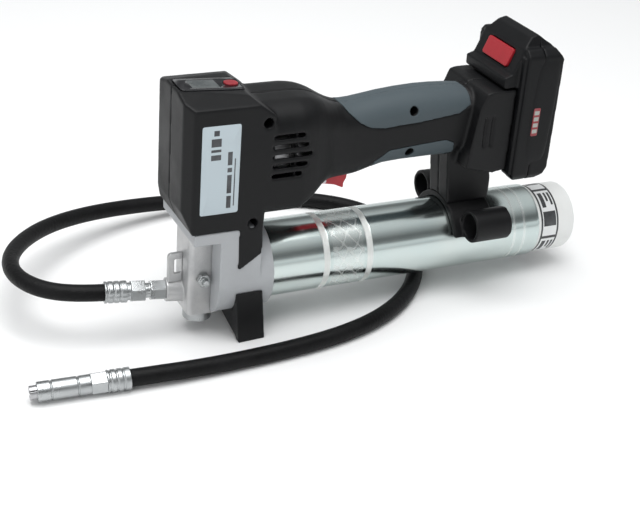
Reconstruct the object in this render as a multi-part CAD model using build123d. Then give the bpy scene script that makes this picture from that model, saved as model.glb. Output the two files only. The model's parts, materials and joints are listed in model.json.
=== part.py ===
from build123d import *
import os
from math import acos, atan, cos, degrees, hypot, pi, radians, sin, sqrt, tan

# Battery grease gun, in millimetres.
# It is drawn in the gun's own frame: the barrel's axis is X, with x = 0 at the rear
# edge of the cast collar, +X towards the battery, +Y towards the gun's right-hand
# side as seen from behind and +Z up.  The last section stands it on its foot.

# ---------------------------------------------------------------- driving dimensions
running = 0.05            # radial clearance of a shaft or plunger in its bore
sliding = 0.3             # clearance each side between parts that slide past each other
seat = 0.1                # gap between moulded parts that are fixed together

# barrel and cartridge
barrel_r = 28.5
barrel_wall = 1.5
barrel_rear = 228.6
barrel_engagement = 12.0  # length screwed into the collar
roll_band_x = (44.0, 79.4)
roll_band_width = 5.0
roll_band_depth = 0.35
seal_thickness = 3.0
cartridge_wall = 1.4
cartridge_rear = 264.0
cartridge_corner = 4.0
follower_thickness = 12.0

# cast head and pump
collar_r = 33.0
casting_front = -42.0
neck_top = 44.0
flange_thickness = 9.0
flange_front = -62.0
pump_x = -46.0
pump_front = -58.5
pump_half_width = 15.0
pump_bottom = -30.5
plunger_r = 4.0
crank_throw = 7.0
inlet_r = 4.0
outlet_z = -16.0          # height of the outlet's axis at its mouth
outlet_rise = 2.0         # degrees, the outlet climbs towards its mouth
outlet_swing = 8.0        # degrees, the outlet points this much towards the right-hand side
outlet_r = 8.75
outlet_face = -70.0
plug_r = 10.5
plug_height = 9.0
bleed_x = -48.0
bleed_z = -1.0
strap_lug_thickness = 3.0
strap_slot_length = 11.5
strap_slot_width = 5.4

# plastic housing
shell_wall = 3.0
head_half_width = 34.0
head_front = -69.5
head_top = 142.0
head_top_fall = 3.0       # the top slopes down by this much towards the rear
front_half_width = 24.0
front_bevel = 5.0
top_half_width = 11.8
top_bevel_drop = 6.5
motor_z = 90.0
motor_top = 131.0
motor_bottom = 52.0
handle_half_width = 19.0
handle_rear = 166.0
receiver_half_width = 29.0
receiver_top = 125.0
post_half_width = 14.0
rail_half_width = 22.0
grip_thickness = 1.6
panel_thickness = 2.4
boss_r = 5.0
screw_r = 1.9
screw_head_r = 3.2

# motor and gear train
motor_can_r = 23.0
motor_can_x = (-1.0, 34.0)
rotor_r = 14.0
shaft_r = 2.5
gear_module = 0.8
sun_teeth = 12
planet_teeth = 18
ring_teeth = 48
ring_r = 23.5
gear_width = 7.0
gear_front = -21.0
gear_backlash = 0.14
carrier_disc = 3.0
crank_disc_r = 17.0

# trigger
trigger_pivot = (44.5, 62.0)
trigger_half_width = 7.0

# rear bracket and nozzle holders
holder_r = 12.25
holder_bore_r = 9.6
holder_y = 38.0
holder_z = 22.0
holder_x = (156.0, 186.5)
saddle_wall = 5.0
saddle_x = (149.0, 184.0)
saddle_low = 10.0         # height of the saddle's two lower edges

# battery
battery_half_width = 35.0
battery_front = 188.0
battery_rear = 220.5
battery_bottom = 52.0
battery_top = 156.0
battery_split = 204.0
battery_wall = 2.6
cell_r = 9.1
cell_length = 64.0
release_length = 14.0
release_half_width = 17.0

# foot
foot_half_width = 34.0
foot_top = -7.0
foot_drop = 47.8
foot_middle = -16.0       # where foot_drop is measured
foot_pad = 6.0
foot_arch = 39.4

# hose and its fittings
hose_r = 6.25
ferrule_r = 8.0
ferrule_length = 16.0
adapter_flats = 13.5
adapter_length = 14.0
nut_flats = 14.5
nut_length = 13.0
end_hex_flats = 13.8
end_hex_length = 11.0
coupler_r = 7.0
coupler_length = 36.0
coupler_bore_r = 5.0
nipple_r = 3.3            # head of the grease nipple that the jaws take
jaw_reach = 5.0
hose_under_barrel_x = 140.0
hose_clearance = 0.4

# ---------------------------------------------------------------- shape helpers
def cylinder_x(radius, x0, x1, y=0.0, z=0.0):
    """A round bar along X."""
    place = Plane(origin=(x0, y, z), x_dir=(0, 1, 0), z_dir=(1, 0, 0))
    return extrude(place * Circle(radius), amount=x1 - x0)


def cylinder_y(radius, y0, y1, x=0.0, z=0.0):
    """A round bar along Y."""
    place = Plane(origin=(x, y0, z), x_dir=(1, 0, 0), z_dir=(0, 1, 0))
    return extrude(place * Circle(radius), amount=y1 - y0)


def cylinder_z(radius, z0, z1, x=0.0, y=0.0):
    """A round bar along Z."""
    return extrude(Plane(origin=(x, y, z0)) * Circle(radius), amount=z1 - z0)


def tube_x(outer, inner, x0, x1, y=0.0, z=0.0):
    """A tube along X."""
    return cylinder_x(outer, x0, x1, y, z) - cylinder_x(inner, x0 - 1, x1 + 1, y, z)


def block(x0, x1, y0, y1, z0, z1):
    """A rectangular block between two corners."""
    return Pos((x0 + x1) / 2, (y0 + y1) / 2, (z0 + z1) / 2) * Box(x1 - x0, y1 - y0, z1 - z0)


def side_face(points, inset=0.0, rounding=0.0):
    """A face in the XZ plane from (x, z) points, drawn in by inset, its corners rounded."""
    face = make_face(Polyline(*[(x, z) for x, z in points], close=True))
    if inset:
        face = offset(face, amount=-inset, kind=Kind.INTERSECTION).face()
    if rounding:
        face = fillet(face.vertices(), rounding).face()
    return Plane(origin=(0, 0, 0), x_dir=(1, 0, 0), z_dir=(0, -1, 0)) * face


def side_prism(points, y0, y1, inset=0.0, rounding=0.0):
    """A prism across Y whose side view is given by (x, z) points."""
    face = side_face(points, inset, rounding)
    return Pos(0, y0, 0) * extrude(face, amount=y1 - y0, dir=(0, 1, 0))


def front_prism(points, x0, x1, rounding=0.0, inset=0.0):
    """A prism along X whose front view is given by (y, z) points, drawn in by inset."""
    face = make_face(Polyline(*points, close=True))
    if inset:
        face = offset(face, amount=-inset, kind=Kind.INTERSECTION).face()
    if rounding:
        face = fillet(face.vertices(), rounding).face()
    place = Plane(origin=(x0, 0, 0), x_dir=(0, 1, 0), z_dir=(1, 0, 0))
    return extrude(place * face, amount=x1 - x0, dir=(1, 0, 0))


def top_prism(points, z0, z1, rounding=0.0):
    """A prism along Z whose top view is given by (x, y) points."""
    face = make_face(Polyline(*points, close=True))
    if rounding:
        face = fillet(face.vertices(), rounding).face()
    return extrude(Plane(origin=(0, 0, z0)) * face, amount=z1 - z0, dir=(0, 0, 1))


def coil_spring(radius, wire_r, height, turns):
    """A helical spring standing on the XY plane."""
    helix = Helix(pitch=(height - 2 * wire_r) / turns, height=height - 2 * wire_r, radius=radius)
    start = Plane(origin=helix @ 0, z_dir=helix % 0)
    return Pos(0, 0, wire_r) * sweep(start * Circle(wire_r), path=helix)


# ---------------------------------------------------------------- gears
def involute_gear_points(teeth, module, backlash, addendum=1.0, dedendum=1.25, phase=0.0):
    """The outline of a spur gear: involute flanks between the root and tip circles."""
    pitch_r = module * teeth / 2
    base_r = pitch_r * cos(radians(20))
    tip_r = pitch_r + addendum * module
    root_r = pitch_r - dedendum * module
    half_pitch_angle = pi / (2 * teeth) - backlash / (2 * pitch_r)
    involute_at_pitch = tan(acos(base_r / pitch_r)) - acos(base_r / pitch_r)
    flank = []
    for step in range(4):
        radius = max(base_r, root_r) + (tip_r - max(base_r, root_r)) * step / 3
        roll = acos(min(1.0, base_r / radius))
        flank.append((radius, half_pitch_angle + involute_at_pitch - (tan(roll) - roll)))
    if root_r < flank[0][0]:
        flank.insert(0, (root_r, flank[0][1]))
    points = []
    for tooth in range(teeth):
        centre = radians(phase) + 2 * pi * tooth / teeth
        for radius, half in flank:
            points.append((radius * cos(centre - half), radius * sin(centre - half)))
        for radius, half in reversed(flank):
            points.append((radius * cos(centre + half), radius * sin(centre + half)))
    return points


def gear_prism(points, x0, width, y, z):
    """A gear outline extruded along X, its own angles measured from +Y towards +Z."""
    place = Plane(origin=(x0, y, z), x_dir=(0, 1, 0), z_dir=(1, 0, 0))
    return extrude(place * make_face(Polyline(*points, close=True)), amount=width, dir=(1, 0, 0))


parts = {}


# ---------------------------------------------------------------- plastic housing
head_side = [
    (head_front, 59.0), (head_front, head_top), (-22.0, head_top - head_top_fall),
    (-6.0, 127.0), (-6.0, 60.0), (-11.0, 60.0), (-11.0, neck_top), (-64.0, neck_top),
]
handle_stations = [       # x, half width, bottom z, top z, top radius, bottom radius
    (-12.0, head_half_width, motor_bottom, motor_top, 20.0, 9.0),
    (17.0, head_half_width, motor_bottom, motor_top, 20.0, 9.0),
    (27.0, 32.5, 58.0, 130.0, 20.0, 11.0),
    (36.0, 28.5, 63.0, 127.0, 19.0, 14.0),
    (44.0, 24.0, 64.5, 122.5, 17.0, 14.5),
    (54.0, 21.0, 64.0, 118.5, 16.0, 15.0),
    (68.0, 19.5, 64.5, 118.5, 15.0, 15.0),
    (90.0, 18.5, 69.5, 122.0, 15.0, 15.0),
    (120.0, handle_half_width, 70.5, 124.0, 15.5, 15.5),
    (148.0, handle_half_width, 70.5, 123.0, 15.5, 15.5),
    (handle_rear, handle_half_width + 0.5, 70.0, 120.5, 15.5, 15.5),
]
loft_start = 17.0         # forward of this station the motor housing is a straight prism


def head_block(inset):
    """The gearbox end of the housing: a block with sloping front and top corners."""
    half = head_half_width - inset
    front = head_front + inset
    top = head_top - inset
    side = side_prism(head_side, -half, half, inset)
    plan = top_prism([
        (0, -half), (front + front_bevel, -half), (front, -front_half_width + inset), (front - 0.6, 0),
        (front, front_half_width - inset), (front + front_bevel, half), (0, half)], 0, 200)
    face = front_prism([
        (-half, 0), (half, 0), (half, top - top_bevel_drop), (top_half_width, top),
        (-top_half_width, top), (-half, top - top_bevel_drop)], -100, 20)
    return side & plan & face


def handle_section(x, half_width, bottom, top, top_radius, bottom_radius, inset):
    """One section of the motor housing and handle, with its own upper and lower corner radii."""
    half, low, high = half_width - inset, bottom + inset, top - inset
    face = make_face(Polyline((-half, low), (half, low), (half, high), (-half, high), close=True))
    face = fillet(face.vertices().sort_by(Axis.Y)[-2:], min(top_radius, half * 0.92)).face()
    face = fillet(face.vertices().sort_by(Axis.Y)[:2], min(bottom_radius, half * 0.92)).face()
    place = Plane(origin=(x, 0, 0), x_dir=(0, 1, 0), z_dir=(1, 0, 0))
    return place * face


def blended_stations(stations, pieces):
    """More stations between the given ones, on a smooth cubic through them."""
    blended = [stations[0]]
    for k in range(len(stations) - 1):
        before, start, end, after = (stations[max(k - 1, 0)], stations[k], stations[k + 1],
                                     stations[min(k + 2, len(stations) - 1)])
        span = end[0] - start[0]
        for piece in range(1, pieces + 1):
            u = piece / pieces
            values = [start[0] + span * u]
            for p, q, r, t in zip(before[1:], start[1:], end[1:], after[1:]):
                slope_in = (r - p) / (end[0] - before[0]) * span
                slope_out = (t - q) / (after[0] - start[0]) * span
                values.append((2 * u**3 - 3 * u**2 + 1) * q + (u**3 - 2 * u**2 + u) * slope_in
                              + (3 * u**2 - 2 * u**3) * r + (u**3 - u**2) * slope_out)
            blended.append(tuple(values))
    return blended


def handle_loft(inset):
    """The motor housing, neck and handle, lofted through their sections."""
    straight = [s for s in handle_stations if s[0] <= loft_start]
    curved = blended_stations([s for s in handle_stations if s[0] >= loft_start], 2)
    return loft([handle_section(*s, inset) for s in straight + curved[1:]], ruled=True)


receiver_side = [
    (152.0, 66.0), (158.0, 112.0), (163.0, 124.0), (168.0, receiver_top),
    (battery_front - 1.0, receiver_top), (battery_front - 1.0, 62.0), (176.0, 60.0),
]
post_side = [
    (144.0, 76.0), (150.0, 84.0), (182.0, 84.0), (183.0, 62.0), (185.0, 46.0), (185.0, 20.0), (150.0, 20.0),
]


def rear_block(inset):
    """The battery receiver behind the handle and the post that reaches down to the barrel."""
    receiver = side_prism(receiver_side, -receiver_half_width + inset, receiver_half_width - inset, inset)
    post = side_prism(post_side, -post_half_width + inset, post_half_width - inset, inset)
    return receiver + post


def leg_plates():
    """The two cheeks that reach down each side of the casting behind the pump."""
    leg = side_prism([(-29.5, 50.0), (-11.0, 50.0), (-11.0, 23.5), (-27.3, 12.2), (-29.5, 13.5)],
                     -head_half_width, head_half_width)
    return leg


casting_u = front_prism([(-collar_r, 0), (-collar_r, neck_top), (collar_r, neck_top), (collar_r, 0)],
                        casting_front, -11.0) + cylinder_x(collar_r, casting_front, 0)
casting_envelope = (
    front_prism([(-collar_r - seat, 0), (-collar_r - seat, neck_top + seat), (collar_r + seat, neck_top + seat),
                 (collar_r + seat, 0)], flange_front - 1, -10.9)
    + cylinder_x(collar_r + seat, casting_front, 1)
)
barrel_envelope = cylinder_x(barrel_r + saddle_wall + seat, 120, 260)

outer_shape = head_block(0) + handle_loft(0) + rear_block(0) - barrel_envelope
inner_shape = head_block(shell_wall) + handle_loft(shell_wall) + rear_block(shell_wall) - cylinder_x(
    barrel_r + saddle_wall + shell_wall, 120, 260)
housing = outer_shape - inner_shape + leg_plates() - casting_envelope
housing -= block(-60, -15, -24, 24, neck_top - 4, neck_top + shell_wall + 4)

# cooling slots in both sides, beside the motor's fan
slot_ends = (16.5, 19.5, 23.0, 19.5, 15.5)
for row, slot_end in enumerate(slot_ends):
    slot_z = 110.5 - 7.2 * row
    housing -= block(-7.0, slot_end, -60, 60, slot_z - 1.5, slot_z + 1.5)

# screw bosses run across the housing; the heads sit in deep holes on the left
screw_places = [(-11.5, 122.0, head_half_width), (-19.5, 48.0, head_half_width), (109.0, 112.0, 17.6),
                (109.0, 80.0, 17.6)]
screw_floor = 6.0         # depth of solid boss each side of the middle plane
for screw_x, screw_z, depth in screw_places:
    housing += cylinder_y(boss_r, -depth + 1.0, depth - 1.0, screw_x, screw_z) & outer_shape
slit_x = (163.5, 169.5)
slit_width = 2.6
slit_depth = 2.0
for x in slit_x:
    for low, high in ((-40.0, slit_depth - receiver_half_width), (receiver_half_width - slit_depth, 40.0)):
        housing -= block(x, x + slit_width, low, high, 82.0, 106.0)
holder_screw_x = (158.0, 176.0)
holder_screw_top = barrel_r + saddle_wall + 12.0
for x in holder_screw_x:
    housing += cylinder_z(boss_r, barrel_r + saddle_wall - 3.0, holder_screw_top, x) & outer_shape
    housing -= cylinder_z(2.0, 0, holder_screw_top, x)
housing -= casting_envelope
for screw_x, screw_z, depth in screw_places:
    housing -= cylinder_y(screw_head_r + sliding, -depth - 40, -screw_floor, screw_x, screw_z)
    housing -= cylinder_y(screw_r + running, -screw_floor - 1, 12.0, screw_x, screw_z)

# recess for the display panel and its board, and the opening for the trigger
panel_x = (-66.0, -20.0)
panel_top = Plane(origin=(head_front, 0, head_top),
                  x_dir=(1, 0, -head_top_fall / (-22.0 - head_front)), z_dir=(
                      head_top_fall / (-22.0 - head_front), 0, 1))


def panel_slab(x0, x1, half_width, low, high, corner):
    """A rounded slab lying in the plane of the head's sloping top."""
    place = panel_top.offset(low)
    centre = (x0 + x1) / 2 - head_front
    slab = Pos(centre, 0) * RectangleRounded(x1 - x0, 2 * half_width, corner)
    return extrude(place * slab, amount=high - low)


housing -= panel_slab(*panel_x, top_half_width - 0.8, -panel_thickness, 5.0, 3.0)
housing -= panel_slab(panel_x[0] + 4, panel_x[1] - 1.5, top_half_width - 4.0, -8.0, 5.0, 2.0)
trigger_gap = sliding
housing += cylinder_y(4.0, -20.0, 20.0, *trigger_pivot) & outer_shape
for rib_x in (-29.5, -17.5, 10.0):
    housing += (block(rib_x, rib_x + 2.0, -32.0, 32.0, motor_bottom, 129.0) & inner_shape
                ) - cylinder_x(ring_r + sliding, rib_x - 1, rib_x + 3, 0, motor_z)
housing -= block(trigger_pivot[0] - 5.0, 67.5, -trigger_half_width - trigger_gap,
                 trigger_half_width + trigger_gap, 40.0, 68.5)
housing -= cylinder_y(1.5 + running, -12, 12, *trigger_pivot)

# soft grip panels are let into the handle's skin
grip_skin = handle_loft(0) - handle_loft(grip_thickness)
upper_grip = side_face([(46, 135), (58, 114.5), (66, 107.5), (75, 103), (87, 101.5), (116, 103.5), (147, 107.0),
                        (156.5, 113.0), (156.5, 135)])
lower_grip = side_face([(80, 55), (81, 75.5), (92, 83.5), (119, 85.8), (138, 87.0), (145, 84.0), (147, 77.0), (147, 55)])
grips = {}
for grip_name, outline in (("grip_upper", upper_grip), ("grip_lower", lower_grip)):
    region = Pos(0, -40, 0) * extrude(outline, amount=80, dir=(0, 1, 0))
    grips[grip_name] = grip_skin & region
    housing -= grips[grip_name]
for screw_x, screw_z, depth in screw_places[2:4]:
    for grip_name in grips:
        grips[grip_name] -= cylinder_y(screw_head_r + sliding, -60, -screw_floor, screw_x, screw_z)

# rails behind the receiver hold the battery; the battery slides up off them
rail_z = (64.0, receiver_top - 2.0)
rail = (block(battery_front - 1.5, battery_front + 6.0, -rail_half_width + 3.0, rail_half_width - 3.0, *rail_z)
        + block(battery_front + 3.0, battery_front + 6.0, -rail_half_width, rail_half_width, *rail_z))
housing += rail
contact_y = (-12.0, -4.0, 4.0, 12.0)
contact_z = (90.0, 100.0)
for y in contact_y:
    housing -= block(battery_front - 6.0, battery_front + 7.0, y - 0.5 - seat, y + 0.5 + seat,
                     contact_z[0] - seat, contact_z[1] + seat)

left_half = block(-120, 260, -80, 0, -60, 220)
right_half = block(-120, 260, 0, 80, -60, 220)
parts["housing_left"] = housing & left_half
parts["housing_right"] = housing & right_half
parts["grip_left"] = Compound([grip & left_half for grip in grips.values()])
parts["grip_right"] = Compound([grip & right_half for grip in grips.values()])

screws = []
for screw_x, screw_z, depth in screw_places:
    screws.append(cylinder_y(screw_head_r, -screw_floor - 2.5, -screw_floor, screw_x, screw_z)
                  + cylinder_y(screw_r, -screw_floor - 0.5, 11.5, screw_x, screw_z)
                  - cylinder_y(1.2, -screw_floor - 2.5, -screw_floor - 1.0, screw_x, screw_z))
parts["housing_screws"] = Compound(screws)

# ---------------------------------------------------------------- display
parts["display_panel"] = (
    panel_slab(panel_x[0] + seat, panel_x[1] - seat, top_half_width - 0.8 - seat, -panel_thickness, 0.5, 3.0)
    - panel_slab(-57.0, -37.0, 7.6, -0.8, 3.0, 1.0)
    - panel_slab(-32.0 - sliding, -22.0 + sliding, 4.4 + sliding, -9.0, 3.0, 4.0))
parts["display_window"] = panel_slab(-57.0 + seat, -37.0 - seat, 7.5, -0.8, 0.35, 0.9)
parts["power_button"] = panel_slab(-32.0, -22.0, 4.4, -5.0, 1.3, 3.9)
parts["display_board"] = panel_slab(panel_x[0] + 5, panel_x[1] - 5, top_half_width - 6.0, -7.8, -6.4, 1.0)

# ---------------------------------------------------------------- motor
parts["motor_can"] = (
    cylinder_x(motor_can_r, *motor_can_x, 0, motor_z)
    - cylinder_x(motor_can_r - 3.0, motor_can_x[0] + 2.0, motor_can_x[1] - 2.0, 0, motor_z)
    - cylinder_x(8.0, motor_can_x[0] - 1, motor_can_x[1] + 1, 0, motor_z))
parts["motor_bearings"] = Compound([
    tube_x(8.0, shaft_r + running, x0, x0 + 5.0, 0, motor_z) for x0 in (motor_can_x[0], motor_can_x[1] - 5.0)])
parts["rotor"] = (cylinder_x(shaft_r, gear_front, motor_can_x[1] + 1.0, 0, motor_z)
                  + cylinder_x(rotor_r, motor_can_x[0] + 8.0, motor_can_x[1] - 9.0, 0, motor_z)
                  + cylinder_x(shaft_r + 2.5, motor_can_x[0] + 5.5, motor_can_x[1] - 5.5, 0, motor_z))
fan = cylinder_x(6.0, -8.5, -2.5, 0, motor_z)
for blade in range(9):
    fan += Pos(0, 0, motor_z) * Rot(blade * 40.0, 0, 0) * block(-8.5, -2.5, -0.7, 0.7, 5.0, 19.0)
fan += cylinder_x(19.5, -3.7, -2.5, 0, motor_z)
parts["fan"] = fan - cylinder_x(shaft_r, -10, 0, 0, motor_z)

# ---------------------------------------------------------------- planetary gears
orbit_r = gear_module * (sun_teeth + planet_teeth) / 2
ring_pitch_r = gear_module * ring_teeth / 2
sun = gear_prism(involute_gear_points(sun_teeth, gear_module, gear_backlash), gear_front, gear_width, 0, motor_z)
parts["sun_gear"] = sun - cylinder_x(shaft_r, gear_front - 1, gear_front + gear_width + 1, 0, motor_z)
planet_angles = (90.0, 210.0, 330.0)
pin_r = 2.5
for number, angle in enumerate(planet_angles, 1):
    tooth_phase = angle + 180.0 + angle * sun_teeth / planet_teeth - 180.0 / planet_teeth
    y = orbit_r * cos(radians(angle))
    z = motor_z + orbit_r * sin(radians(angle))
    outline = involute_gear_points(planet_teeth, gear_module, gear_backlash, phase=tooth_phase)
    parts[f"planet_gear_{number}"] = (gear_prism(outline, gear_front, gear_width, y, z)
                                      - cylinder_x(pin_r + running, gear_front - 1, gear_front + gear_width + 1, y, z))
first_phase = planet_angles[0] + 180.0 + planet_angles[0] * sun_teeth / planet_teeth - 180.0 / planet_teeth
ring_phase = planet_angles[0] + (first_phase - planet_angles[0]) * planet_teeth / ring_teeth
ring_gap = involute_gear_points(ring_teeth, gear_module, -gear_backlash, 1.25, 1.0, ring_phase)
parts["ring_gear"] = (cylinder_x(ring_r, gear_front - 0.5, gear_front + gear_width + 0.5, 0, motor_z)
                      - gear_prism(ring_gap, gear_front - 2, gear_width + 4, 0, motor_z))
parts["gearbox_rear_plate"] = tube_x(ring_r, 5.0, gear_front + gear_width + 0.5, -10.5, 0, motor_z)

# ---------------------------------------------------------------- carrier and crank
carrier_x = (gear_front - 0.5 - carrier_disc, gear_front - 0.5)
journal_x = (carrier_x[0] - 7.0, carrier_x[0])
crank_x = (journal_x[0] - 3.0, journal_x[0])
crank_pin_end = crank_x[0] - 6.5
carrier = (cylinder_x(crank_disc_r, *carrier_x, 0, motor_z) + cylinder_x(7.5, *journal_x, 0, motor_z)
           + cylinder_x(crank_throw + 5.0, *crank_x, 0, motor_z)
           + cylinder_x(3.0, crank_pin_end, crank_x[0], crank_throw, motor_z))
carrier -= cylinder_x(shaft_r + 1.0, carrier_x[0], carrier_x[1] + 1, 0, motor_z)
for angle in planet_angles:
    y = orbit_r * cos(radians(angle))
    z = motor_z + orbit_r * sin(radians(angle))
    carrier += cylinder_x(pin_r, carrier_x[1] - 0.5, gear_front + gear_width, y, z)
parts["carrier_crank"] = carrier
parts["crank_bearing"] = tube_x(11.0, 7.5 + running, journal_x[0] + 0.5, journal_x[1] - 0.5, 0, motor_z)
parts["gearbox_front_plate"] = tube_x(ring_r, 11.0, journal_x[0] + 0.5, journal_x[1] - 0.5, 0, motor_z)
parts["crank_roller"] = tube_x(5.5, 3.0 + running, crank_pin_end + 0.5, crank_x[0] - 0.3, crank_throw, motor_z)

# ---------------------------------------------------------------- yoke, plunger and pump
yoke_x = (pump_x - 5.5, crank_pin_end - 0.5)
rod_y = 17.5
rod_r = 3.0
yoke = (block(*yoke_x, -22.0, 22.0, motor_z - 9.0, motor_z + 9.0)
        - block(yoke_x[0] + 3.0, yoke_x[1] + 1, -crank_throw - 6.0, crank_throw + 6.0, motor_z - 5.8, motor_z + 5.8))
for y in (-rod_y, rod_y):
    yoke -= cylinder_z(rod_r + running, motor_z - 12, motor_z + 12, pump_x, y)
plunger_bottom = 3.0
yoke -= cylinder_z(plunger_r, motor_z - 12, motor_z - 5.8, pump_x, 0)
parts["yoke"] = yoke
parts["plunger"] = (cylinder_z(plunger_r, plunger_bottom, motor_z - 5.8, pump_x, 0)
                    + (cylinder_z(plunger_r + 2.5, motor_z - 12.0, motor_z - 9.0, pump_x, 0)
                       & block(-60, crank_pin_end - 1.0, -20, 20, 0, motor_z)))
parts["guide_rods"] = Compound([cylinder_z(rod_r, neck_top - 6.0, motor_z + 22.0, pump_x, y) for y in (-rod_y, rod_y)])

rise, swing = radians(outlet_rise), radians(outlet_swing)
outlet_direction = (-cos(rise) * cos(swing), cos(rise) * sin(swing), sin(rise))
outlet_length = (pump_x - outlet_face) / cos(rise)
outlet = Plane(origin=(pump_x, 0, outlet_z - outlet_length * sin(rise)), x_dir=(0, 0, 1),
               z_dir=outlet_direction)


def along_outlet(radius, start, end, flats=0.0):
    """A round or hexagonal bar on the outlet's axis, measured out from the pump's axis."""
    outline = RegularPolygon(flats / 2, 6, major_radius=False) if flats else Circle(radius)
    return extrude(outlet.offset(start) * outline, amount=end - start)


pump_outline = [(pump_front, -pump_half_width), (-33.0, -pump_half_width), (-33.0, pump_half_width),
                (pump_front, pump_half_width)]
pump_solid = top_prism(pump_outline, pump_bottom, neck_top - flange_thickness, 4.0)
pump = pump_solid + along_outlet(outlet_r, 0, outlet_length)
pump -= cylinder_z(plunger_r + running, pump_bottom - 1, neck_top, pump_x, 0)
pump -= cylinder_z(7.0, neck_top - flange_thickness - 5.0, neck_top, pump_x, 0)
pump -= cylinder_z(6.0, pump_bottom - 1, pump_bottom + 8.0, pump_x, 0)
pump -= along_outlet(2.0, 0, 20)
pump -= along_outlet(3.4, 8.0, 30)
pump -= along_outlet(5.0, outlet_length - 6.0, 40)
pump -= cylinder_x(inlet_r, pump_x, -30, 0, 4.0)
bleed_y = -pump_half_width
pump -= cylinder_y(3.0 + running, bleed_y - 1, bleed_y + 7.0, bleed_x, bleed_z)
parts["plunger_seal"] = (cylinder_z(6.95, neck_top - flange_thickness - 5.0, neck_top - flange_thickness, pump_x, 0)
                         - cylinder_z(plunger_r + running, 0, 60, pump_x, 0))

lug_x = (outlet_face + 0.6, outlet_face + 16.4)
lug_base = outlet_z + 4.0
lug = side_prism([(lug_x[0], lug_base), (lug_x[0], 15.0), (lug_x[1], 15.0), (lug_x[1], lug_base)],
                 -strap_lug_thickness / 2, strap_lug_thickness / 2)
lug_slot_x = (lug_x[0] + 4.8, lug_x[0] + 4.8 + strap_slot_width)
lug_slot_z = (-1.5, -1.5 + strap_slot_length)
lug = fillet(lug.edges().filter_by(Axis.Y).sort_by(Axis.Z)[2:], 3.0)
lug -= block(*lug_slot_x, -5, 5, *lug_slot_z)
lug -= along_outlet(outlet_r, -5, 60)
parts["strap_lug"] = lug - pump_solid

parts["pump_block"] = pump
parts["pump_plug"] = (cylinder_z(6.0 - running, pump_bottom + 0.5, pump_bottom + 7.5, pump_x, 0)
                      + cylinder_z(plug_r, pump_bottom - plug_height, pump_bottom, pump_x, 0)
                      + cylinder_z(6.0 - running, pump_bottom - 0.5, pump_bottom + 1.0, pump_x, 0)
                      - extrude(Plane(origin=(pump_x, 0, pump_bottom - plug_height - 1.0)) * RegularPolygon(4.0, 6), amount=5.0))
bleed = cylinder_y(3.0, bleed_y - 1.0, bleed_y + 6.0, bleed_x, bleed_z)
bleed += extrude(Plane(origin=(bleed_x, bleed_y - 0.2, bleed_z), x_dir=(1, 0, 0), z_dir=(0, -1, 0))
                 * RegularPolygon(4.5, 6, major_radius=False), amount=4.0)
bleed += cylinder_y(2.4, bleed_y - 8.0, bleed_y - 4.0, bleed_x, bleed_z)
parts["bleed_screw"] = bleed
parts["check_ball"] = outlet.offset(11.0).location * Sphere(3.0)
parts["check_spring"] = outlet.offset(14.2).location * coil_spring(2.4, 0.4, outlet_length - 6.2 - 14.2, 3.5)

# ---------------------------------------------------------------- painted casting
flange = front_prism([(-collar_r, neck_top - flange_thickness), (collar_r, neck_top - flange_thickness),
                      (collar_r, neck_top), (-collar_r, neck_top)], flange_front, casting_front + 1)
casting = casting_u + flange
casting -= top_prism([(x + (seat if x > -40 else -seat), y + (seat if y > 0 else -seat)) for x, y in pump_outline],
                     -60, neck_top - flange_thickness + seat, 4.0)
casting -= cylinder_x(barrel_r + running, -barrel_engagement, 5)
casting -= cylinder_x(barrel_r - barrel_wall, -barrel_engagement - seal_thickness, 0)
casting -= cylinder_x(inlet_r, -40, -10, 0, 4.0)
casting -= cylinder_z(10.0, 30, neck_top + 1, pump_x, 0)
for y in (-rod_y, rod_y):
    casting -= cylinder_z(rod_r, neck_top - 6.0, neck_top + 1, pump_x, y)
parts["head_casting"] = casting
parts["barrel_seal"] = tube_x(barrel_r - barrel_wall - 0.1, barrel_r - 7.0, -barrel_engagement - seal_thickness,
                              -barrel_engagement - 0.1)

# ---------------------------------------------------------------- barrel and cartridge
barrel = tube_x(barrel_r, barrel_r - barrel_wall, -barrel_engagement, barrel_rear)
for x in roll_band_x:
    barrel -= tube_x(barrel_r + 1, barrel_r - roll_band_depth, x - roll_band_width / 2, x + roll_band_width / 2)
parts["barrel"] = barrel
cartridge_r = barrel_r - barrel_wall - sliding
cartridge = cylinder_x(cartridge_r, -barrel_engagement + 0.3, cartridge_rear)
cartridge = fillet(cartridge.faces().sort_by(Axis.X)[-1].edges(), cartridge_corner)
cartridge -= cylinder_x(cartridge_r - cartridge_wall, -barrel_engagement, cartridge_rear - 2.0)
parts["cartridge"] = cartridge
follower_x1 = cartridge_rear - 12.0
follower = cylinder_x(cartridge_r - cartridge_wall - running, follower_x1 - follower_thickness, follower_x1)
follower -= cylinder_x(cartridge_r - cartridge_wall - 3.0, follower_x1 - follower_thickness + 2.0, follower_x1 + 1)
parts["follower_piston"] = follower

# ---------------------------------------------------------------- trigger
px, pz = trigger_pivot
trigger = side_prism([(px - 3.6, pz + 3.0), (px - 3.6, pz - 2.0), (px - 1.0, pz - 3.6), (55.0, 56.0), (62.6, 52.4),
                      (62.4, 56.5), (64.5, 60.5), (65.0, 68.0), (px, 68.0)],
                     -trigger_half_width, trigger_half_width, 0.0, 0.9)
trigger -= cylinder_y(1.5 + running, -20, 20, *trigger_pivot)
parts["trigger"] = trigger
parts["trigger_pin"] = cylinder_y(1.5, -11.5, 11.5, *trigger_pivot)
parts["trigger_switch"] = block(47.0, 66.0, -8.0, 8.0, 77.0, 94.0)
parts["trigger_spring"] = Pos(58.0, 0, 68.3) * coil_spring(3.0, 0.5, 8.4, 4.0)
parts["control_board"] = block(76.0, 136.0, -12.0, 12.0, 93.0, 94.6) + block(100.0, 118.0, -7, 7, 94.6, 101.0)

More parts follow.
